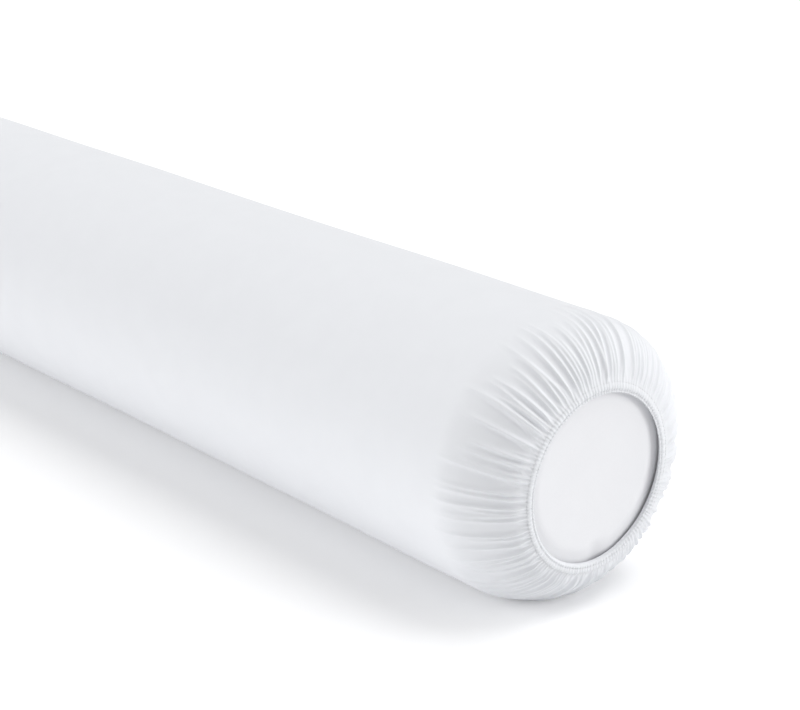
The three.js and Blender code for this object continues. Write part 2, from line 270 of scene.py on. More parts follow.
@dataclass(frozen=True)
class JerseyKnit:
    """Fine white jersey: upright wales of small loops with a brushed surface."""

    slot: ClassVar[str] = "jersey"
    colour: Colour = (0.800, 0.812, 0.838)
    # The colour where the knit is low: painted shade.
    hollow: Colour = (0.735, 0.747, 0.775)
    wale: float = 0.95 * MM
    course: float = 0.75 * MM
    loop_depth: float = 0.035 * MM
    fuzz_depth: float = 0.03 * MM
    roughness: float = 0.9

    def material(self) -> bpy.types.Material:
        """Loops along the cloth, a fuzz of fibres over them, and a faint unevenness of tone, with
        painted shade where the loops and fuzz are low.

        Returns:
            The material.
        """
        graph = Graph("jersey_knit")
        across, along = graph.cloth_place()
        side = ((across / self.wale).fraction() - 0.5).size()
        leg = 1.0 - ((side - 0.25) * 4.0) ** 2.0
        row = ((along / self.course + side * 1.4) * math.tau).sine() * 0.5 + 0.5
        loops = leg.at_least(0.0) * (row * 0.55 + 0.45)
        place = graph.place()
        fuzz = graph.noise(place, 2600.0, 3.0)
        uneven = graph.noise(place, 55.0, 4.0)
        # Darker where the loops and fuzz are low, which is painted shade, mixed with a random
        # unevenness of tone.
        tone = loops * 0.35 + fuzz * 0.25 + uneven * 0.4
        knitted = graph.relief(loops, self.loop_depth)
        return graph.finish(
            {
                "Base Color": graph.mixed(tone * 1.1 + 0.15, self.hollow, self.colour),
                "Roughness": self.roughness,
                "Specular IOR Level": 0.25,
                "Sheen Weight": 0.12,
                "Sheen Roughness": 0.5,
                "Normal": graph.relief(fuzz, self.fuzz_depth, knitted),
            }
        )


@dataclass(frozen=True)
class WovenCotton:
    """Fine plain-woven white cotton."""

    slot: ClassVar[str] = "case_cloth"
    colour: Colour = (0.815, 0.818, 0.838)
    # The colour where the weave is low: painted shade.
    hollow: Colour = (0.755, 0.76, 0.785)
    thread: float = 0.42 * MM
    depth: float = 0.03 * MM

    def material(self) -> bpy.types.Material:
        """Warp and weft that cross over and under, slubs, and a faint unevenness of tone, with
        painted shade where the weave and slubs are low.

        Returns:
            The material.
        """
        graph = Graph("woven_cotton")
        across, along = graph.cloth_place()
        turn = math.pi / self.thread
        warp = (across * turn).sine()
        weft = (along * turn).sine()
        weave = warp * weft * 0.5 + 0.5
        place = graph.place()
        slub = graph.noise(place, 700.0, 3.0)
        uneven = graph.noise(place, 60.0, 4.0)
        # Darker where the weave and slubs are low, which is painted shade, mixed with a random
        # unevenness of tone.
        tone = weave * 0.3 + slub * 0.3 + uneven * 0.4
        woven = graph.relief(weave, self.depth)
        return graph.finish(
            {
                "Base Color": graph.mixed(tone * 1.1 + 0.1, self.hollow, self.colour),
                "Roughness": 0.85,
                "Specular IOR Level": 0.3,
                "Sheen Weight": 0.08,
                "Normal": graph.relief(slub, self.depth, woven),
            }
        )


@dataclass(frozen=True)
class SewingThread:
    """Twisted white polyester thread."""

    slot: ClassVar[str] = "thread"
    colour: Colour = (0.84, 0.845, 0.86)
    # The colour in the grooves between the plies: painted shade.
    hollow: Colour = (0.66, 0.665, 0.69)
    twist: float = 0.35 * MM

    def material(self) -> bpy.types.Material:
        """Slanting plies with a soft gloss, and painted shade in the grooves between them.

        Returns:
            The material.
        """
        graph = Graph("sewing_thread")
        place = graph.place()
        x = graph.add("ShaderNodeSeparateXYZ", inputs={0: place}, output="X")
        slant = (x + graph.other_output(x, "Y") + graph.other_output(x, "Z")) / self.twist
        plies = (slant * math.tau).sine() * 0.5 + 0.5
        # The base colour darkens in the grooves between the plies: painted shade.
        return graph.finish(
            {
                "Base Color": graph.mixed(plies, self.hollow, self.colour),
                "Roughness": 0.5,
                "Specular IOR Level": 0.4,
                "Normal": graph.relief(plies, 0.04 * MM),
            }
        )


@dataclass(frozen=True)
class BraidedElastic:
    """Flat white braided elastic, ribbed along its length."""

    slot: ClassVar[str] = "elastic"
    axis_height: float
    colour: Colour = (0.82, 0.82, 0.81)
    # The colour in the grooves of the ribs and braid: painted shade.
    hollow: Colour = (0.6, 0.6, 0.6)
    rib: float = 0.75 * MM

    def material(self) -> bpy.types.Material:
        """Ribs that run round the ring, with painted shade in their grooves and in the low parts of
        the braid.

        Returns:
            The material.
        """
        graph = Graph("braided_elastic")
        place = graph.place()
        y = graph.add("ShaderNodeSeparateXYZ", inputs={0: place}, output="Y")
        z = graph.other_output(y, "Z") - self.axis_height
        radius = (y * y + z * z) ** 0.5
        ribs = (radius * (math.tau / self.rib)).sine() * 0.5 + 0.5
        braid = graph.noise(place, 1800.0, 2.0)
        # The base colour darkens where the ribs and braid are low: painted shade.
        return graph.finish(
            {
                "Base Color": graph.mixed(ribs * 0.6 + braid * 0.4, self.hollow, self.colour),
                "Roughness": 0.75,
                "Normal": graph.relief(ribs, 0.12 * MM, graph.relief(braid, 0.05 * MM)),
            }
        )


@dataclass(frozen=True)
class ZipTape:
    """White polyester zip tape with a fine lengthwise rib."""

    slot: ClassVar[str] = "zip_tape"
    colour: Colour = (0.8, 0.8, 0.81)
    # The colour where the courses and grain are low: painted shade.
    hollow: Colour = (0.66, 0.66, 0.68)

    def material(self) -> bpy.types.Material:
        """Short courses across the tape, with a woven grain, and painted shade where both are low.

        Returns:
            The material.
        """
        graph = Graph("zip_tape_weave")
        place = graph.place()
        x = graph.add("ShaderNodeSeparateXYZ", inputs={0: place}, output="X")
        courses = (x * (math.tau / (0.7 * MM))).sine() * 0.5 + 0.5
        grain = graph.noise(place, 1500.0, 3.0)
        # The base colour darkens where the courses and grain are low: painted shade.
        return graph.finish(
            {
                "Base Color": graph.mixed(courses * 0.5 + grain * 0.5, self.hollow, self.colour),
                "Roughness": 0.8,
                "Normal": graph.relief(courses, 0.06 * MM, graph.relief(grain, 0.04 * MM)),
            }
        )


@dataclass(frozen=True)
class CoilNylon:
    """Moulded white nylon."""

    slot: ClassVar[str] = "zip_coil"
    colour: Colour = (0.83, 0.83, 0.83)

    def material(self) -> bpy.types.Material:
        """A smooth plastic with a slightly uneven gloss.

        Returns:
            The material.
        """
        graph = Graph("coil_nylon")
        gloss = graph.noise(graph.place(), 900.0, 2.0)
        return graph.finish(
            {
                "Base Color": graph.mixed(gloss, (0.78, 0.78, 0.79), self.colour),
                "Roughness": gloss * 0.2 + 0.25,
                "Subsurface Weight": 0.15,
                "Subsurface Radius": (0.0008, 0.0008, 0.0008),
            }
        )


@dataclass(frozen=True)
class SatinNickel:
    """Nickel-plated die-cast metal with a satin face."""

    slot: ClassVar[str] = "zip_metal"
    colour: Colour = (0.66, 0.67, 0.68)

    def material(self) -> bpy.types.Material:
        """Fine handling marks over a brushed plating.

        Returns:
            The material.
        """
        graph = Graph("satin_nickel")
        place = graph.place()
        marks = graph.noise(place, 1400.0, 4.0)
        cloud = graph.noise(place, 220.0, 2.0)
        return graph.finish(
            {
                "Base Color": graph.mixed(cloud, (0.55, 0.56, 0.57), self.colour),
                "Metallic": 1.0,
                "Roughness": marks * 0.22 + 0.2,
                "Normal": graph.relief(marks, 0.01 * MM),
            }
        )


@dataclass(frozen=True)
class PolyesterWadding:
    """Lofty white fibre batting."""

    slot: ClassVar[str] = "wadding"
    colour: Colour = (0.86, 0.86, 0.86)

    def material(self) -> bpy.types.Material:
        """Tangled fibres and soft tufts, with painted shade where the fibres are low.

        Returns:
            The material.
        """
        graph = Graph("polyester_wadding")
        place = graph.place()
        fibres = graph.noise(place, 420.0, 6.0)
        tufts = graph.noise(place, 60.0, 3.0)
        lumps = graph.relief(tufts, 1.5 * MM)
        # The same noise that raises the fibres darkens the colour where they are low: painted shade
        # between the fibres.
        return graph.finish(
            {
                "Base Color": graph.mixed(fibres, (0.72, 0.72, 0.72), self.colour),
                "Roughness": 0.95,
                "Sheen Weight": 0.3,
                "Normal": graph.relief(fibres, 0.6 * MM, lumps),
            }
        )


@dataclass(frozen=True)
class CreamFoam:
    """Open-cell cream upholstery foam."""

    slot: ClassVar[str] = "foam"
    colour: Colour = (0.84, 0.79, 0.6)

    def material(self) -> bpy.types.Material:
        """Small open cells with painted shade in their pits, and a faint yellowing.

        Returns:
            The material.
        """
        graph = Graph("cream_foam")
        place = graph.place()
        cell = graph.add(
            "ShaderNodeTexVoronoi", inputs={"Vector": place, "Scale": 900.0}, output="Distance"
        )
        cloud = graph.noise(place, 25.0, 2.0)
        # Darker at the bottom of each cell's pit: painted shade.
        cell_pit_shade = graph.mixed(cell, (0.6, 0.54, 0.38), self.colour)
        return graph.finish(
            {
                "Base Color": graph.mixed(cloud * 0.3, cell_pit_shade, (0.87, 0.78, 0.52)),
                "Roughness": 0.92,
                "Normal": graph.relief(cell, 0.3 * MM),
            }
        )


@dataclass(frozen=True)
class PaperSweep:
    """The plain white studio floor."""

    slot: ClassVar[str] = ""
    colour: Colour = (0.95, 0.95, 0.955)
    glow: float = 0.1

    def material(self) -> bpy.types.Material:
        """Matt white paper with a faint light behind it.

        Returns:
            The material.
        """
        graph = Graph("paper_sweep")
        return graph.finish(
            {
                "Base Color": self.colour,
                "Roughness": 1.0,
                "Specular IOR Level": 0.0,
                "Emission Color": self.colour,
                "Emission Strength": self.glow,
            }
        )


# ---------------------------------------------------------------- making pieces


def smooth(share: Array | float) -> Array:
    """A ramp from 0 to 1 that starts and ends level."""
    held = np.clip(share, 0.0, 1.0)
    return held * held * (3.0 - 2.0 * held)


def piece_of(name: str, mesh_source: bmesh.types.BMesh) -> bpy.types.Object:
    """Turns a finished bmesh into a smooth-shaded piece.

    Args:
        name: the piece's name.
        mesh_source: its mesh, which is freed.

    Returns:
        The piece, at the origin.
    """
    mesh = bpy.data.meshes.new(name)
    mesh_source.to_mesh(mesh)
    mesh_source.free()
    mesh.polygons.foreach_set("use_smooth", np.ones(len(mesh.polygons), bool))
    made = bpy.data.objects.new(name, mesh)
    bpy.context.scene.collection.objects.link(made)
    return made


def dressed(made: bpy.types.Object, finish: Finish) -> bpy.types.Object:
    """Gives a piece its finish, in place of any that it has.

    Args:
        made: the piece.
        finish: what it is finished in.

    Returns:
        The same piece.
    """
    known = bpy.data.materials.get(type(finish).__name__)
    if known is None:
        known = finish.material()
        known.name = type(finish).__name__
    made.data.materials.clear()
    made.data.materials.append(known)
    return made


def fitted(made: bpy.types.Object, body: Body, *nodes: str) -> bpy.types.Object:
    """Fixes a piece to its body, in place of some of the frame's nodes.

    Args:
        made: the piece, in place.
        body: the body that it moves with.
        nodes: the nodes that it stands for.

    Returns:
        The same piece.
    """
    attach(made, body.value)
    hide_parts(*nodes)
    LOG.info("%s: %d faces, for %s", made.name, len(made.data.polygons), ", ".join(nodes))
    return made


def dressed_node(node: str, finish: Finish) -> bpy.types.Object:
    """Gives one of the frame's own nodes its finish, and reports it."""
    LOG.info("%s keeps its frame shape", node)
    return dressed(frame["nodes"][node], finish)


@dataclass(frozen=True)
class Form:
    """The bolster's overall shape: a straight round body between two elliptical shoulders."""

    radius: float
    axis_height: float
    half_length: float
    shoulder_start: float
    opening: float
    stitch_inset: float = 1.5 * MM
    hem_width: float = 6.4 * MM
    zip_turn: float = math.radians(125.0)
    hem_stitch_half_width: ClassVar[float] = 0.25 * MM

    @classmethod
    def from_frame(cls) -> "Form":
        """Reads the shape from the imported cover.

        Returns:
            The shape, in metres.
        """
        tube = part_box("cover_sleeve")[1]
        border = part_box("cover_gather_near")
        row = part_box("hem_stitch_inner_near")[1]
        inset = cls.stitch_inset + cls.hem_stitch_half_width
        return cls(
            radius=tube.y,
            axis_height=tube.z - tube.y,
            half_length=border[1].x,
            shoulder_start=(tube.x + border[0].x) / 2.0,
            opening=row.y - inset,
        )

    @property
    def shoulder(self) -> float:
        """The length of a shoulder along the bolster."""
        return self.half_length - self.shoulder_start

    def placed(self, turn: Array, radius: Array, along: Array) -> Array:
        """Points by their angle, radius and place along the bolster.

        Args:
            turn: angles in radians from the top, towards the front.
            radius: distances from the bolster's axis.
            along: places along the bolster.

        Returns:
            One row of x, y and z for each point.
        """
        side = -radius * np.sin(turn)
        height = self.axis_height + radius * np.cos(turn)
        return np.stack([along + 0.0 * turn, side, height], axis=-1)


class Outline:
    """The lengthwise section of one layer, measured along the cloth from its near edge."""

    def __init__(
        self, form: Form, radial: float, axial: float, edge: float, fullness: float = 2.0
    ) -> None:
        """Works out the section.

        Args:
            form: the bolster's overall shape.
            radial: the layer's depth below the cover round the body.
            axial: its depth at the ends.
            edge: the angle round the shoulder at which the layer ends, in radians.
            fullness: 2 for a round shoulder, and less for a flatter one.
        """
        turns = np.linspace(edge, 0.0, 240)
        rise = form.radius - form.opening - radial
        run = form.shoulder - axial
        power = 2.0 / fullness
        radius = form.opening + rise * np.cos(turns) ** power
        place = form.shoulder_start + run * np.sin(turns) ** power
        outward = np.stack(
            [run * np.cos(turns) ** (2.0 - power), rise * np.sin(turns) ** (2.0 - power)]
        )
        outward /= np.hypot(*outward)
        self.radius = np.concatenate([radius, radius[::-1]])
        self.place = np.concatenate([place, -place[::-1]])
        self.outward = np.concatenate([outward, outward[:, ::-1] * [[1.0], [-1.0]]], axis=1)
        steps = np.hypot(np.diff(self.radius), np.diff(self.place))
        self.along = np.concatenate([[0.0], np.cumsum(steps)])
        self.length = float(self.along[-1])
        self.shoulder_length = float(self.along[len(turns) - 1])

    def at(self, along: Array, proud: Array | float = 0.0) -> tuple[Array, Array]:
        """The radius and place of points on the layer, or a little proud of it.

        Args:
            along: distances along the cloth.
            proud: how far each point stands out from the layer.

        Returns:
            The radii, and the places along the bolster.
        """
        out_r = np.interp(along, self.along, self.outward[0])
        out_x = np.interp(along, self.along, self.outward[1])
        radius = np.interp(along, self.along, self.radius) + proud * out_r
        return radius, np.interp(along, self.along, self.place) + proud * out_x


Placing = Callable[[Array, Array], Array]


@dataclass
class RolledCloth:
    """A flat panel of cloth, rolled into a tube and sewn along one line."""

    name: str
    columns: int
    rows: Array
    seam: float
    girth: float
    doubled: tuple[tuple[float, float], ...] = ()

    def build(self, placing: Placing) -> bpy.types.Object:
        """Lays the panel out flat, then rolls it.

        Args:
            placing: gives each point's place from its angle and distance along the cloth.

        Returns:
            The sewn tube, with its flat layout kept as a UV map in metres.
        """
        panel = bmesh.new()
        steps = len(self.rows) - 1
        bmesh.ops.create_grid(panel, x_segments=self.columns, y_segments=steps, size=0.5)
        self._double(panel)
        sheet = bpy.data.meshes.new("flat_panel")
        panel.to_mesh(sheet)
        flat = np.empty(len(sheet.vertices) * 3)
        sheet.vertices.foreach_get("co", flat)
        flat = flat.reshape(-1, 3)[:, :2] + 0.5
        turn = self.seam - math.tau * flat[:, 0]
        along = np.interp(flat[:, 1] * steps, np.arange(steps + 1), self.rows)
        corners = np.empty(len(sheet.loops), np.int32)
        sheet.loops.foreach_get("vertex_index", corners)
        layout = np.stack([flat[:, 0] * self.girth, along], axis=-1)[corners]
        sheet.uv_layers.new(name="cloth").data.foreach_set("uv", layout.ravel())
        sheet.vertices.foreach_set("co", placing(turn, along).ravel())
        panel.clear()
        panel.from_mesh(sheet)
        bpy.data.meshes.remove(sheet)
        edge = [v for v in panel.verts if v.is_boundary]
        bmesh.ops.remove_doubles(panel, verts=edge, dist=WELD)
        bmesh.ops.triangulate(panel, faces=[f for f in panel.faces if len(f.verts) > 4])
        return piece_of(self.name, panel)

    def _double(self, panel: bmesh.types.BMesh) -> None:
        """Halves the columns where the cloth needs finer folds.

        Args:
            panel: the flat panel, before it is rolled.
        """
        if not self.doubled:
            return
        steps = len(self.rows) - 1
        fine = [any(lo <= at <= hi for lo, hi in self.doubled) for at in self.rows]
        cut = []
        for edge in panel.edges:
            a, b = (v.co.y for v in edge.verts)
            if abs(a - b) < 1e-9 and fine[round((a + 0.5) * steps)]:
                cut.append(edge)
        bmesh.ops.subdivide_edges(panel, edges=cut, cuts=1)


def turned(layout: str, profile: Sequence[tuple[float, float]], steps: int) -> bmesh.types.BMesh:
    """Turns an outline about the X axis.

    Args:
        layout: the name of the piece's flat layout.
        profile: the outline's points, by their place along the axis and distance from it.
        steps: how many segments go round.

    Returns:
        The turned mesh, about the X axis itself.
    """
    shape = bmesh.new()
    shape.loops.layers.uv.new(layout)
    first = profile[0]
    tip = bmesh.ops.create_vert(shape, co=(first[0], 0.0, first[1]))["vert"][0]
    for place, radius in profile[1:]:
        grown = bmesh.ops.extrude_vert_indiv(shape, verts=[tip])
        tip = grown["verts"][0]
        tip.co = (place, 0.0, radius)
    bmesh.ops.spin(
        shape,
        geom=shape.verts[:] + shape.edges[:],
        axis=(1.0, 0.0, 0.0),
        cent=(0.0, 0.0, 0.0),
        angle=math.tau,
        steps=steps,
        use_merge=True,
    )
    bmesh.ops.remove_doubles(shape, verts=shape.verts, dist=WELD)
    bmesh.ops.recalc_face_normals(shape, faces=shape.faces)
    return shape


def beads(name: str, seats: Sequence[Matrix], rings: int) -> bpy.types.Object:
    """Sets a small rounded bead at each of many places, as one piece.

    Args:
        name: the piece's name.
        seats: each bead's place, turn and size.
        rings: how many rings of faces a bead has.

    Returns:
        The piece.
    """
    whole = bmesh.new()
    # A few beads at a time, because adding one to a large mesh is slow.
    for first in range(0, len(seats), BATCH):
        some = bmesh.new()
        for seat in seats[first : first + BATCH]:
            bmesh.ops.create_uvsphere(
                some, u_segments=6, v_segments=rings, radius=1.0, matrix=seat
            )
        held = bpy.data.meshes.new("some_beads")
        some.to_mesh(held)
        some.free()
        whole.from_mesh(held)
        bpy.data.meshes.remove(held)
    return piece_of(name, whole)


@dataclass
class StitchRow:
    """A row of separate sewn stitches."""

    name: str
    length: float = 1.25 * MM
    thickness: float = 0.42 * MM

    def build(self, places: Array, heading: Array) -> bpy.types.Object:
        """Lays one small rounded stitch at each place.

        Args:
            places: the middle of each stitch.
            heading: the way that each stitch runs.

        Returns:
            The row as one piece.
        """
        half = Vector((self.thickness, self.thickness, self.length)) / 2.0
        seats = []
        for place, way in zip(places, heading):
            turn = UP.rotation_difference(Vector(way)).to_matrix().to_4x4()
            seats.append(Matrix.Translation(Vector(place)) @ turn @ Matrix.Diagonal((*half, 1.0)))
        return beads(self.name, seats, 4)


# ---------------------------------------------------------------- the cover


@dataclass
class Pleats:
    """The folds that one elastic draws into the cloth of the shoulder."""

    seed: int
    count: int = 151
    long_share: float = 0.64
    crest_width: float = 0.75 * MM
    spread_width: float = 1.4 * MM
    crest: tuple[float, float] = (1.4 * MM, 2.6 * MM)
    reach: tuple[float, float] = (27 * MM, 55 * MM)
    short_reach: tuple[float, float] = (7 * MM, 22 * MM)
    pucker: float = 0.46 * MM
    pucker_mean: float = 0.45
    drift_spread: float = 0.3
    sway_spread: float = 0.16
    tallest: float = 2.9 * MM
    settle: float = 0.9 * MM
    settle_reach: float = 45 * MM
    spread_reach: float = 38 * MM
    rise_reach: float = 7 * MM
    hem_reach: float = 2.5 * MM
    angles: Array = field(init=False)

    def __post_init__(self) -> None:
        """Draws each pleat's place, length and height once, from the seed."""
        chance = np.random.default_rng(self.seed)
        n = self.count
        step = math.tau / n
        self.angles = (np.arange(n) + chance.uniform(-0.2, 0.2, n)) * step
        is_long = chance.random(n) < self.long_share
        for k in range(n):
            if not is_long[k - 1] and not is_long[k - 2]:
                is_long[k] = True
        self.reaches = np.where(
            is_long,
            self.reach[0] + (self.reach[1] - self.reach[0]) * chance.beta(2.2, 1.8, n),
            chance.uniform(*self.short_reach, n),
        )
        self.heights = np.where(
            is_long, chance.uniform(*self.crest, n), chance.uniform(0.45, 0.8, n) * self.crest[0]
        )
        before = np.where(np.roll(is_long, 1), -1.0, 0.0)
        after = np.where(np.roll(is_long, -1), 1.0, 0.0)
        toward = np.where(before + after == 0.0, chance.choice([-1.0, 1.0], n), before + after)
        self.drifts = np.where(is_long, chance.normal(0.0, self.drift_spread, n), toward) * step
        self.sways = chance.normal(0.0, self.sway_spread, n) * step
        self.starts = chance.uniform(0.0, math.tau, n)

    def puckers(self, turn: Array) -> Array:
        """The small folds of the hem itself, from 0 between them to 1 on their crests.

        Args:
            turn: angles round the bolster.

        Returns:
            The share of a full fold at each angle.
        """
        wrapped = np.mod(turn, math.tau)
        first, last = self.angles[0], self.angles[-1]
        ring = np.concatenate([[last - math.tau], self.angles, [first + math.tau]])
        phase = np.interp(wrapped, ring, np.arange(-1, self.count + 1))
        return (0.5 + 0.5 * np.cos(math.tau * phase)) ** 1.3

    def folds(self, turn: Array, from_hem: Array, radius: Array) -> Array:
        """How far the folds lift the cloth of the shoulder.

        Args:
            turn: angles round the bolster.
            from_hem: distances along the cloth from the hem's outer stitches.
            radius: distances from the bolster's axis.

        Returns:
            The lift at each point, about the mean of its surroundings.
        """
        lift = np.zeros_like(turn)
        rows = (self.angles, self.reaches, self.heights, self.drifts, self.sways, self.starts)
        for angle, reach, height, drift, sway, start in zip(*rows):
            near = from_hem < reach
            share = from_hem[near] / reach
            centre = angle + drift * smooth(share) + sway * np.sin(start + 5.0 * share)
            gap = np.mod(turn[near] - centre + math.pi, math.tau) - math.pi
            grown = np.clip(from_hem[near] / self.spread_reach, 0.0, 1.0)
            width = self.crest_width + (self.spread_width - self.crest_width) * grown
            rise = (0.4 + 0.6 * smooth(from_hem[near] / self.rise_reach)) * (1.0 - share**1.7)
            lift[near] += height * rise * np.exp(-np.abs(gap * radius[near] / width) ** 1.6)
        lift = self.tallest * np.tanh(lift / self.tallest)
        settled = self.settle * (1.0 - smooth(from_hem / self.settle_reach))
        hem = self.pucker * (self.puckers(turn) - self.pucker_mean)
        blend = smooth(from_hem / self.hem_reach)
        return hem * (1.0 - blend) + (lift - settled) * blend


@dataclass
class Cover:
    """The fitted jersey cover: its sleeve, hems, stitches, elastics and seam."""

    form: Form
    seam: float = math.radians(-130.0)
    press: float = 1.3 * MM
    fullness: float = 1.85
    lean: Vector = field(default_factory=lambda: Vector((0.0, 4.2, 2.7)) * MM)
    slip: Vector = field(default_factory=lambda: Vector((0.0, 0.3, -2.6)) * MM)
    draw: float = 0.85 * MM
    give: float = 0.4
    swell: float = 0.5 * MM
    uneven: float = 0.16 * MM
    uneven_margin: float = 30 * MM
    columns: int = 480
    fold_row: float = 1.2 * MM
    fold_zone: float = 52 * MM
    ease_zone: float = 100 * MM
    ease_row: float = 4.5 * MM
    body_row: float = 15 * MM
    hem_row: float = 0.6 * MM
    flat_size: tuple[float, float] = (0.43, 0.71)
    jersey: JerseyKnit = JerseyKnit()
    thread: SewingThread = SewingThread()
    pleats: dict[End, Pleats] = field(
        default_factory=lambda: {End.NEAR: Pleats(seed=11), End.FAR: Pleats(seed=29)}
    )

    def __post_init__(self) -> None:
        """Works out the sleeve's section from the hem's outer stitches inwards."""
        offset = self.form.hem_width - self.form.stitch_inset
        rise = self.form.radius - self.form.opening
        edge = math.acos((offset / rise) ** (self.fullness / 2.0))
        self.outline = Outline(self.form, 0.0, 0.0, edge, self.fullness)

    def build(self) -> None:
        """Makes and dresses every piece of the cover."""
        trims = []
        for end in End:
            trims.append(self.hem(end))
            trims += [self.hem_stitches(end, row) for row in ("inner", "outer")]
            trims.append(self.elastic(end))
        trims.append(dressed_node("cover_side_seam", self.thread))
        sleeve = self.sleeve()

    def rows(self) -> Array:
        """The sleeve's rows, close together where the cloth is gathered.

        Returns:
            Distances along the cloth from the near hem.
        """
        half = self.outline.length / 2.0
        folds = np.arange(0.0, self.fold_zone, self.fold_row)
        eased = np.arange(self.fold_zone, self.ease_zone, self.ease_row)
        plain = np.linspace(self.ease_zone, half, round((half - self.ease_zone) / self.body_row))
        near = np.concatenate([folds, eased, plain])
        return np.concatenate([near, (2.0 * half - near[:-1])[::-1]])

    def worn(self, turn: Array, radius: Array, along: Array) -> tuple[Array, Array, Array]:
        """How the pulled-on cover sits on the near shoulder, off the true round.

        Args:
            turn: angles round the bolster.
            radius: distances from its axis.
            along: places along it.

        Returns:
            The radii, and how far the points shift across and up.
        """
        rise = self.form.radius - self.form.opening
        share = np.clip((along - self.form.shoulder_start) / self.form.shoulder, 0.0, 1.0)
        middle = 4.0 * share**2 * (1.0 - share**2)
        toward = -self.lean.y * np.sin(turn) + self.lean.z * np.cos(turn)
        toward = np.where(toward > 0.0, toward, self.give * toward)
        inside = np.clip((self.form.radius - radius) / rise, 0.0, 1.2)
        body = smooth((along - 0.05) / 0.2) * (1.0 - share**2)
        grown = radius + middle * toward - self.draw * inside * share**2 + self.swell * body
        return grown, self.slip.y * share**2, self.slip.z * share**2

    def shaped(self, turn: Array, radius: Array, along: Array) -> Array:
        """Places points of the cover, settled on what the bolster lies on.

        Args:
            turn: angles round the bolster.
            radius: distances from its axis.
            along: places along it.

        Returns:
            One row of x, y and z for each point.
        """
        radius, across, up = self.worn(turn, radius, along)
        points = self.form.placed(turn, radius, along)
        points[:, 1] += across
        points[:, 2] += up
        height = points[:, 2]
        soft = (height + self.press) ** 2 / (4.0 * self.press)
        pressed = np.where(height > self.press, height, np.where(height > -self.press, soft, 0.0))
        points[:, 2] = pressed
        return points

    def sleeve(self) -> bpy.types.Object:
        """The tube of jersey, from one hem's outer stitches to the other's.

        Returns:
            The piece, dressed and fixed to its body.
        """
        rows = self.rows()
        zone = self.fold_zone + 0.1 * MM
        cloth = RolledCloth(
            name="cover_sleeve_cloth",
            columns=self.columns,
            rows=rows,
            seam=self.seam,
            girth=math.tau * self.form.radius,
            doubled=((-1.0, zone), (self.outline.length - zone, self.outline.length + 1.0)),
        )

        def placing(turn: Array, along: Array) -> Array:
            """Lifts the cloth by its folds and its faint unevenness.

            Args:
                turn: angles round the bolster.
                along: distances along the cloth.

            Returns:
                One row of x, y and z for each point.
            """
            radius, _ = self.outline.at(along)
            from_far = self.outline.length - along
            is_near = along < from_far
            lift = np.zeros_like(turn)
            for end, here, dist in (
                (End.NEAR, is_near, along),
                (End.FAR, ~is_near, from_far),
            ):
                lift[here] = self.pleats[end].folds(turn[here], dist[here], radius[here])
            lift += self.unevenness(turn, along)
            return self.shaped(turn, *self.outline.at(along, lift))

        made = dressed(cloth.build(placing), self.jersey)
        nodes = ("cover_sleeve", "cover_gather_near", "cover_gather_far")
        return fitted(made, Body.COVER, *nodes)

    def unevenness(self, turn: Array, along: Array) -> Array:
        """The faint swells of a soft filling, a few tenths of a millimetre high.

        Args:
            turn: angles round the bolster.
            along: distances along the cloth.

        Returns:
            The lift at each point.
        """
        from_hem = np.minimum(along, self.outline.length - along)
        inside = smooth(from_hem / self.uneven_margin)
        wave = (
            np.sin(2.0 * turn + 17.0 * along + 0.6)
            + 0.8 * np.sin(3.0 * turn - 29.0 * along + 2.1)
            + 0.5 * np.sin(5.0 * turn + 41.0 * along + 4.0)
        )
        return self.uneven * wave * inside

    # Each point of the hem's section: its distance out from the opening's edge, and how far it
    # stands proud of the shoulder's line, from under the outer stitches to the back leaf's edge.
    hem_section: ClassVar[tuple[tuple[float, float], ...]] = (
        (5.70, -0.75), (4.90, -0.30), (4.66, -0.02), (4.35, 0.22), (3.95, 0.38), (3.50, 0.46),
        (3.05, 0.46), (2.60, 0.37), (2.20, 0.20), (1.85, -0.04), (1.55, -0.22), (1.30, -0.06),
        (1.05, 0.10), (0.72, 0.12), (0.38, -0.08), (0.14, -0.45), (0.02, -0.95), (0.00, -1.55),
        (0.06, -2.15), (0.30, -2.62), (0.75, -2.90), (1.60, -3.00), (3.20, -3.00), (5.60, -3.00),
    )

    def hem_point(self, offset: Array, proud: Array) -> tuple[Array, Array]:
        """The radius of a point of the near hem, and its place along the bolster.

        Args:
            offset: distances out from the opening's edge.
            proud: how far each point stands out from the shoulder's line.

        Returns:
            The radii, and the places along the bolster.
        """
        rise = self.form.radius - self.form.opening
        full = self.fullness
        front = self.form.shoulder * (1.0 - (offset / rise) ** full) ** (1.0 / full)
        return self.form.opening + offset, self.form.shoulder_start + front + proud

    def hem(self, end: End) -> bpy.types.Object:
        """The gathered casing round one elastic, from its outer stitches round to its back leaf.

        Args:
            end: which end it is at.

        Returns:
            The piece, dressed and fixed to its body.
        """
        section = np.array(self.hem_section) * MM
        pleats = self.pleats[end]
        rows = np.arange(len(section), dtype=float)
        share = np.interp(
            section[:, 1], [-3.0 * MM, -1.2 * MM, 0.1 * MM, 0.46 * MM], [0.1, 0.3, 0.75, 1.0]
        )
        share[0:2] = 1.0
        cloth = RolledCloth(
            name=f"hem_casing_{end.label}",
            columns=8 * pleats.count,
            rows=rows * self.hem_row,
            seam=self.seam,
            girth=math.tau * (self.form.opening + self.form.hem_width / 2.0),
        )

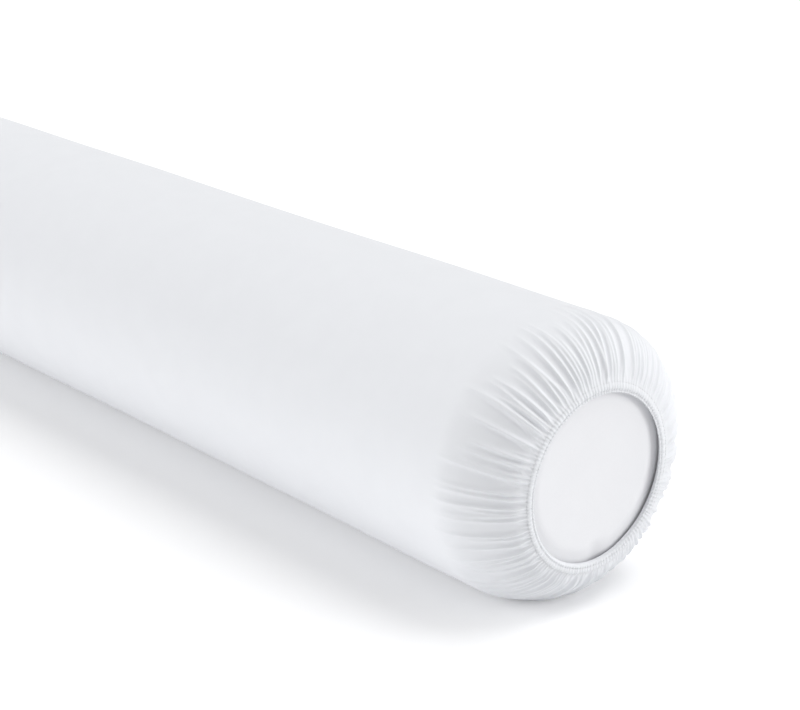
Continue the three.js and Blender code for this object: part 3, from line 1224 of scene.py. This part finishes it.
        def placing(turn: Array, along: Array) -> Array:
            """Puckers the casing between its rows of stitches.

            Args:
                turn: angles round the bolster.
                along: distances along the cloth.

            Returns:
                One row of x, y and z for each point.
            """
            row = along / self.hem_row
            offset = np.interp(row, rows, section[:, 0])
            proud = np.interp(row, rows, section[:, 1])
            folded = pleats.puckers(turn) - pleats.pucker_mean
            pucker = pleats.pucker * np.interp(row, rows, share) * folded
            radius, place = self.hem_point(offset, proud + pucker)
            return self.shaped(turn, radius, end.value * place)

        made = cloth.build(placing)
        if end is End.NEAR:
            # The section runs inwards, so the near hem comes out of the roll inside out.
            mesh = bmesh.new()
            mesh.from_mesh(made.data)
            bmesh.ops.reverse_faces(mesh, faces=mesh.faces)
            mesh.to_mesh(made.data)
            mesh.free()
        return fitted(dressed(made, self.jersey), Body.COVER, f"cover_gather_{end.label}")

    def elastic(self, end: End) -> bpy.types.Object:
        """The braided elastic inside one hem, a flat ring with softened edges.

        Args:
            end: which end it is at.

        Returns:
            The piece, dressed and fixed to its body.
        """
        low, high = 1.15 * MM, 5.6 * MM
        front, back = -1.25 * MM, -1.85 * MM
        section = np.array(
            [(low, -1.35 * MM), (1.35 * MM, front), (5.4 * MM, front), (high, -1.35 * MM)]
            + [(high, -1.75 * MM), (5.4 * MM, back), (1.35 * MM, back), (low, -1.75 * MM)]
            + [(low, -1.35 * MM)]
        )
        radius, place = self.hem_point(section[:, 0], section[:, 1])
        shape = turned("cloth", list(zip((end.value * place).tolist(), radius.tolist())), 160)
        for vert in shape.verts:
            turn = math.atan2(-vert.co.y, vert.co.z)
            far = math.hypot(vert.co.y, vert.co.z)
            at = self.shaped(np.array([turn]), np.array([far]), np.array([vert.co.x]))
            vert.co = at[0].tolist()
        made = piece_of(f"hem_elastic_{end.label}_band", shape)
        elastic = BraidedElastic(self.form.axis_height)
        return fitted(dressed(made, elastic), Body.COVER, f"hem_elastic_{end.label}")

    def hem_stitches(self, end: End, row: str) -> bpy.types.Object:
        """One row of the twin needle's stitches, a stitch to each pucker.

        Args:
            end: which end it is at.
            row: "inner" for the row nearer the opening, or "outer".

        Returns:
            The piece, dressed and fixed to its body.
        """
        inset = self.form.stitch_inset
        offset = inset if row == "inner" else self.form.hem_width - inset
        turns = self.pleats[end].angles
        radius, place = self.hem_point(np.full_like(turns, offset), np.full_like(turns, 0.02 * MM))
        points = self.shaped(turns, radius, end.value * place)
        heading = np.stack([0.0 * turns, -np.cos(turns), -np.sin(turns)], axis=-1)
        made = StitchRow(f"hem_stitches_{row}_{end.label}").build(points, heading)
        return fitted(dressed(made, self.thread), Body.COVER, f"hem_stitch_{row}_{end.label}")


# ---------------------------------------------------------------- the inner bolster


@dataclass
class InnerBolster:
    """The zipped cotton case with its wadding and foam core."""

    form: Form
    case_depth: float = 2.1 * MM
    case_setback: float = 4.0 * MM
    seam_turn: float = math.radians(45.0)
    seam_dip: float = 0.7 * MM
    seam_zone: float = 6 * MM
    seam_roll: float = 0.25 * MM
    crease: float = 0.18 * MM
    slot_fold: float = 0.45 * MM
    panel_share: float = 0.955
    panel_rise: float = 4 * MM
    panel_swell: float = 1.3 * MM
    panel_ripple: float = 0.1 * MM
    tuck: float = 0.9 * MM
    tuck_turn: float = math.radians(184.0)
    tuck_spread: float = 0.12
    tuck_start: float = 36 * MM
    tuck_reach: float = 6 * MM
    wadding_gap: float = 1.1 * MM
    wadding_end_turn: float = math.radians(49.0)
    wadding_wrap_turn: float = math.radians(41.0)
    wadding_end_thickness: float = 7.6 * MM
    wadding_wrap_gap: float = 1.6 * MM
    wadding_wrap_thickness: float = 7.3 * MM
    wadding_tuck_in: float = 7.8 * MM
    groove: float = 3.2 * MM
    groove_spread: float = 0.1
    groove_end: float = 12 * MM
    foam_edge: float = 12 * MM
    slot_half_length: float = 231 * MM
    slot_columns: int = 3
    columns: int = 290
    cotton: WovenCotton = WovenCotton()
    wadding: PolyesterWadding = PolyesterWadding()
    foam: CreamFoam = CreamFoam()
    thread: SewingThread = SewingThread()

    def build(self) -> None:
        """Makes and dresses every piece of the inner bolster but its zip."""
        wrap = self.case_wrap()
        for end in End:
            panel = self.case_end(end)
            dressed_node(f"case_seam_{end.label}", self.thread)
            self.wadding_end(end)
        self.wadding_wrap()
        self.foam_core()

    def pressed(self, points: Array, depth: float) -> Array:
        """Flattens the underside of a layer of that depth where the bolster rests."""
        points[:, 2] = np.maximum(points[:, 2], depth)
        return points

    def case_wrap(self) -> bpy.types.Object:
        """The body's cotton tube, with a slot for the zip and its edges turned into the seams.

        Returns:
            The piece, dressed and fixed to its body.
        """
        outline = Outline(self.form, self.case_depth, self.case_setback, self.seam_turn)
        straight = outline.shoulder_length
        slot_start = straight + self.form.shoulder_start - self.slot_half_length
        slot_end = outline.length - slot_start
        rows = np.concatenate(
            [
                np.linspace(0.0, self.seam_zone, 9)[:-1],
                np.linspace(self.seam_zone, slot_start, 24)[:-1],
                np.linspace(slot_start, slot_end, 95)[:-1],
                np.linspace(slot_end, outline.length - self.seam_zone, 24)[:-1],
                np.linspace(outline.length - self.seam_zone, outline.length, 9),
            ]
        )
        step = math.tau / self.columns
        cloth = RolledCloth(
            name="case_wrap_cloth",
            columns=self.columns,
            rows=rows,
            seam=self.form.zip_turn - math.pi + step * (self.columns / 2 % 1),
            girth=math.tau * (self.form.radius - self.case_depth),
        )

        def placing(turn: Array, along: Array) -> Array:
            """Lays light creases in the cotton, and turns its edges under.

            Args:
                turn: angles round the bolster.
                along: distances along the cloth.

            Returns:
                One row of x, y and z for each point.
            """
            from_edge = np.minimum(along, outline.length - along)
            crease = np.sin(9.0 * turn + 60.0 * along) * np.sin(4.0 * turn - 23.0 * along + 1.0)
            lift = self.crease * crease * smooth(from_edge / (20 * MM))
            lift -= self.seam_dip * np.exp(-((from_edge / (1.6 * MM)) ** 2))
            lift += self.seam_roll * np.exp(-(((from_edge - 5 * MM) / (3 * MM)) ** 2))
            apart = np.abs(np.mod(turn - self.form.zip_turn + math.pi, math.tau) - math.pi)
            edge = self.slot_columns * step
            beside = (apart < edge + 1.2 * step) & (along > slot_start) & (along < slot_end)
            lift = np.where(beside & (apart < edge + 0.2 * step), lift - self.slot_fold, lift)
            points = self.form.placed(turn, *outline.at(along, lift))
            return self.pressed(points, self.case_depth)

        made = cloth.build(placing)
        self.cut_slot(made)
        return fitted(dressed(made, self.cotton), Body.INNER, "case_wrap")

    def cut_slot(self, made: bpy.types.Object) -> None:
        """Opens the slot over the zip.

        Args:
            made: the case's tube, in place.
        """
        mesh = bmesh.new()
        mesh.from_mesh(made.data)
        limit = self.slot_columns * math.tau / self.columns
        over = []
        for face in mesh.faces:
            centre = face.calc_center_median()
            turn = math.atan2(-centre.y, centre.z - self.form.axis_height)
            if abs(turn - self.form.zip_turn) < limit and abs(centre.x) < self.slot_half_length:
                over.append(face)
        bmesh.ops.delete(mesh, geom=over, context="FACES")
        mesh.to_mesh(made.data)
        mesh.free()

    def dished(self, end: End, depths: tuple[float, float], edge: float) -> bmesh.types.BMesh:
        """A dished round that closes an end of one layer.

        Args:
            end: which end it closes.
            depths: the layer's depth round the body and at the end.
            edge: the angle round the shoulder of its rim.

        Returns:
            Its mesh, in place.
        """
        rise = self.form.radius - self.form.opening - depths[0]
        run = self.form.shoulder - depths[1]
        flat = self.form.shoulder_start + run
        profile = [(flat, r) for r in np.linspace(0.0, self.form.opening, 24)[:-1]]
        for turn in np.linspace(math.pi / 2, edge, 22):
            place = self.form.shoulder_start + run * math.sin(turn)
            profile.append((place, self.form.opening + rise * math.cos(turn)))
        shape = turned("cloth", [(end.value * x, r) for x, r in profile], 128)
        bmesh.ops.translate(shape, verts=shape.verts, vec=UP * self.form.axis_height)
        return shape

    def case_end(self, end: End) -> bpy.types.Object:
        """The plain cotton round that closes one end, with a slight crown.

        Args:
            end: which end it closes.

        Returns:
            The piece, dressed and fixed to its body.
        """
        shape = self.dished(end, (self.case_depth, self.case_setback), self.seam_turn)
        rise = self.form.radius - self.form.opening - self.case_depth
        rim = self.form.opening + rise * math.cos(self.seam_turn)
        for vert in shape.verts:
            y, z = vert.co.y, vert.co.z - self.form.axis_height
            radius = math.hypot(y, z)
            swell = float(smooth((self.panel_share * self.form.opening - radius) / self.panel_rise))
            ripple = math.sin(95.0 * y + 1.0) * math.sin(80.0 * z + 0.5 + 30.0 * y)
            dip = self.seam_dip * math.exp(-(((rim - radius) / (1.2 * MM)) ** 2))
            apart = math.remainder(math.atan2(-y, z) - self.tuck_turn, math.tau)
            tuck = math.exp(-((apart / self.tuck_spread) ** 2))
            tuck *= float(smooth((radius - self.tuck_start) / self.tuck_reach))
            lift = self.panel_swell * swell * (1.0 - 0.9 * tuck) + self.panel_ripple * ripple
            vert.co.x += end.value * (lift - self.tuck * tuck - 0.6 * dip)
            if radius > 0.0:
                vert.co.y -= 0.5 * dip * y / radius
                vert.co.z -= 0.5 * dip * z / radius
        for face in shape.faces:
            for loop in face.loops:
                uv = loop[shape.loops.layers.uv["cloth"]]
                uv.uv = (loop.vert.co.y, loop.vert.co.z)
        made = piece_of(f"case_end_{end.label}_cloth", shape)
        return fitted(dressed(made, self.cotton), Body.INNER, f"case_end_{end.label}")

    def wadding_end(self, end: End) -> bpy.types.Object:
        """The pad of wadding behind one end round.

        Args:
            end: which end it is at.

        Returns:
            The piece, dressed and fixed to its body.
        """
        depth = self.case_depth + self.wadding_gap
        setback = self.case_setback + self.wadding_gap
        shape = self.dished(end, (depth, setback), self.wadding_end_turn)
        bmesh.ops.recalc_face_normals(shape, faces=shape.faces)
        bmesh.ops.solidify(shape, geom=shape.faces, thickness=self.wadding_end_thickness)
        made = piece_of(f"wadding_end_{end.label}_pad", shape)
        return fitted(dressed(made, self.wadding), Body.INNER, f"wadding_end_{end.label}")

    def wadding_wrap(self) -> bpy.types.Object:
        """The sleeve of wadding round the foam, pressed in along the zip.

        Returns:
            The piece, dressed and fixed to its body.
        """
        depth = self.case_depth + self.wadding_wrap_gap
        setback = self.case_setback + self.wadding_gap
        outline = Outline(self.form, depth, setback, self.wadding_wrap_turn)
        inner_depth = depth + self.wadding_wrap_thickness
        inner_setback = setback + self.wadding_tuck_in
        inner = Outline(self.form, inner_depth, inner_setback, self.wadding_wrap_turn)
        out = [outline.at(s) for s in np.linspace(0.0, outline.length, 60)]
        back = [inner.at(s) for s in np.linspace(inner.length, 0.0, 60)]
        profile = [(float(x), float(r)) for r, x in [*out, *back, out[0]]]
        shape = turned("wadding", profile, 96)
        bmesh.ops.translate(shape, verts=shape.verts, vec=UP * self.form.axis_height)
        for vert in shape.verts:
            y, z = vert.co.y, vert.co.z - self.form.axis_height
            radius = math.hypot(y, z)
            apart = math.remainder(math.atan2(-y, z) - self.form.zip_turn, math.tau)
            outer = float(smooth((radius - self.form.radius + depth + 4 * MM) / (2 * MM)))
            to_end = self.slot_half_length + self.groove_end - abs(vert.co.x)
            inside = float(smooth(to_end / self.groove_end))
            groove = self.groove * math.exp(-((apart / self.groove_spread) ** 2)) * outer * inside
            vert.co.y -= groove * y / radius
            vert.co.z -= groove * z / radius
            vert.co.z = max(vert.co.z, depth)
        made = piece_of("wadding_wrap_pad", shape)
        return fitted(dressed(made, self.wadding), Body.INNER, "wadding_wrap")

    def foam_core(self) -> bpy.types.Object:
        """The cut foam cylinder, its edges a little rounded.

        Returns:
            The piece, dressed and fixed to its body.
        """
        low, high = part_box("foam_core")
        radius = high.y
        ends = high.x
        bevel = self.foam_edge
        arc = [
            (ends - bevel + bevel * math.sin(a), radius - bevel + bevel * math.cos(a))
            for a in np.linspace(math.pi / 2, 0.0, 8)
        ]
        body = [(float(x), radius) for x in np.linspace(ends - bevel, bevel - ends, 40)[1:-1]]
        profile = [(ends, 0.0), *arc, *body, *[(-x, r) for x, r in reversed(arc)], (-ends, 0.0)]
        shape = turned("foam", profile, 96)
        bmesh.ops.translate(shape, verts=shape.verts, vec=UP * self.form.axis_height)
        for vert in shape.verts:
            vert.co.z = max(vert.co.z, low.z)
        made = piece_of("foam_core_block", shape)
        return fitted(dressed(made, self.foam), Body.INNER, "foam_core")


@dataclass
class Zip:
    """The case's zip: its tapes, coils, stitches, stops and slider."""

    form: Form
    tooth_pitch: float = 1.4 * MM
    tooth_lean: float = math.radians(14.0)
    tooth_share: float = 0.42
    stitch_pitch: float = 2.6 * MM
    tape: ZipTape = ZipTape()
    nylon: CoilNylon = CoilNylon()
    metal: SatinNickel = SatinNickel()
    thread: SewingThread = SewingThread()

    def build(self) -> None:
        """Makes and dresses every piece of the zip."""
        for side in ("upper", "lower"):
            dressed_node(f"zip_tape_{side}", self.tape)
            self.coil(side)
            self.stitches(side)
        for node in ("zip_stop_near", "zip_stop_far", "zip_slider"):
            dressed_node(node, self.metal)

    def seat(self) -> Matrix:
        """Takes a point from beside the zip, with the zip's outside up, to its place."""
        lean = Matrix.Rotation(self.form.zip_turn, 4, "X")
        return Matrix.Translation(UP * self.form.axis_height) @ lean

    def span(self, node: str) -> tuple[Vector, Vector]:
        """The lowest and highest corners of a node, as seen with the zip's outside up.

        Args:
            node: the node's name.

        Returns:
            The two corners.
        """
        back = self.seat().inverted()
        points = [back @ v.co for v in frame["nodes"][node].data.vertices]
        low = Vector([min(p[k] for p in points) for k in range(3)])
        high = Vector([max(p[k] for p in points) for k in range(3)])
        return low, high

    def coil(self, side: str) -> bpy.types.Object:
        """The moulded loops of one side, leaning a little along the tape.

        Args:
            side: "upper" or "lower".

        Returns:
            The piece, dressed and fixed to its body.
        """
        low, high = self.span(f"zip_coil_{side}")
        middle = (low + high) / 2.0
        half = (high - low) / 2.0
        turn = self.tooth_lean if side == "upper" else -self.tooth_lean
        lean = Matrix.Rotation(turn, 4, "Z")
        size = Matrix.Diagonal((self.tooth_share * self.tooth_pitch, half.y, half.z, 1.0))
        seats = []
        for k in range(int((high.x - low.x) / self.tooth_pitch)):
            place = Vector((low.x + (k + 0.5) * self.tooth_pitch, middle.y, middle.z))
            seats.append(self.seat() @ Matrix.Translation(place) @ lean @ size)
        made = beads(f"zip_coil_{side}_loops", seats, 5)
        return fitted(dressed(made, self.nylon), Body.INNER, f"zip_coil_{side}")

    def stitches(self, side: str) -> bpy.types.Object:
        """The row of stitches that holds one tape to the case.

        Args:
            side: "upper" or "lower".

        Returns:
            The piece, dressed and fixed to its body.
        """
        low, high = self.span(f"zip_stitch_{side}")
        middle = (low + high) / 2.0
        count = int((high.x - low.x) / self.stitch_pitch)
        places = [
            self.seat() @ Vector((low.x + (k + 0.5) * self.stitch_pitch, middle.y, high.z - 0.1 * MM))
            for k in range(count)
        ]
        heading = np.tile([1.0, 0.0, 0.0], (count, 1))
        row = StitchRow(f"zip_stitches_{side}", length=2.0 * MM, thickness=0.4 * MM)
        made = row.build(np.array(places), heading)
        return fitted(dressed(made, self.thread), Body.INNER, f"zip_stitch_{side}")


# ---------------------------------------------------------------- the studio


@dataclass(frozen=True)
class Lamp:
    """A broad soft light from one side, the same strength everywhere."""

    name: str
    azimuth: float
    elevation: float
    spread: float
    strength: float
    colour: Colour = (1.0, 1.0, 1.0)

    def hang(self) -> None:
        """Adds the light, shining towards the bolster."""
        light = bpy.data.lights.new(self.name, "SUN")
        light.energy = self.strength
        light.angle = math.radians(self.spread)
        light.color = self.colour
        lamp = bpy.data.objects.new(self.name, light)
        a, e = math.radians(self.azimuth), math.radians(self.elevation)
        toward = Vector((math.cos(a) * math.cos(e), math.sin(a) * math.cos(e), math.sin(e)))
        lamp.rotation_euler = toward.to_track_quat("Z", "Y").to_euler()
        lamp.location = toward * 3.0
        bpy.context.scene.collection.objects.link(lamp)


@dataclass
class Studio:
    """The pale floor, the soft lights and the camera."""

    camera_place: Vector = field(default_factory=lambda: Vector((0.9342, -0.6586, 0.4560)))
    heading: float = math.radians(41.15)
    pitch: float = math.radians(19.8)
    lens: float = 87.63
    surround: float = 0.33
    floor: PaperSweep = PaperSweep()
    lamps: tuple[Lamp, ...] = (
        Lamp("overhead", 75.0, 70.0, 45.0, 1.6),
        Lamp("left_front", 232.0, 15.0, 40.0, 1.65),
        Lamp("right_back", 38.0, 18.0, 50.0, 1.35),
    )

    def build(self) -> None:
        """Sets up the floor, lights, surround and camera."""
        self.lay_floor()
        for lamp in self.lamps:
            lamp.hang()
        self.set_surround()
        self.set_camera()

    def lay_floor(self) -> None:
        """Lays a wide sheet of white paper under the bolster."""
        sheet = bmesh.new()
        bmesh.ops.create_grid(sheet, x_segments=1, y_segments=1, size=30.0)
        bmesh.ops.translate(sheet, verts=sheet.verts, vec=(0.0, 0.0, -0.0002))
        floor = dressed(piece_of("studio_floor", sheet), self.floor)

    def set_surround(self) -> None:
        """Fills the room with even white light."""
        world = bpy.data.worlds.new("studio")
        world.use_nodes = True
        back = world.node_tree.nodes["Background"]
        back.inputs["Color"].default_value = (1.0, 1.0, 1.0, 1.0)
        back.inputs["Strength"].default_value = self.surround
        bpy.context.scene.world = world
        bpy.context.scene.view_settings.view_transform = "Standard"

    def set_camera(self) -> None:
        """Places the camera above the near end's front corner."""
        data = bpy.data.cameras.new("camera")
        data.lens = self.lens
        data.sensor_width = 36.0
        data.clip_end = 100.0
        camera = bpy.data.objects.new("camera", data)
        level = math.cos(self.pitch)
        ahead = Vector(
            (-math.cos(self.heading) * level, math.sin(self.heading) * level, -math.sin(self.pitch))
        )
        camera.rotation_euler = ahead.to_track_quat("-Z", "Y").to_euler()
        camera.location = self.camera_place
        bpy.context.scene.collection.objects.link(camera)
        bpy.context.scene.camera = camera


def main() -> None:
    """Builds the studio, then the bolster from the outside in."""
    logging.basicConfig(level=logging.INFO, format="%(name)s: %(message)s")
    Studio().build()
    form = Form.from_frame()
    Cover(form).build()
    InnerBolster(form).build()
    Zip(form).build()


if __name__ == "__main__":
    main()
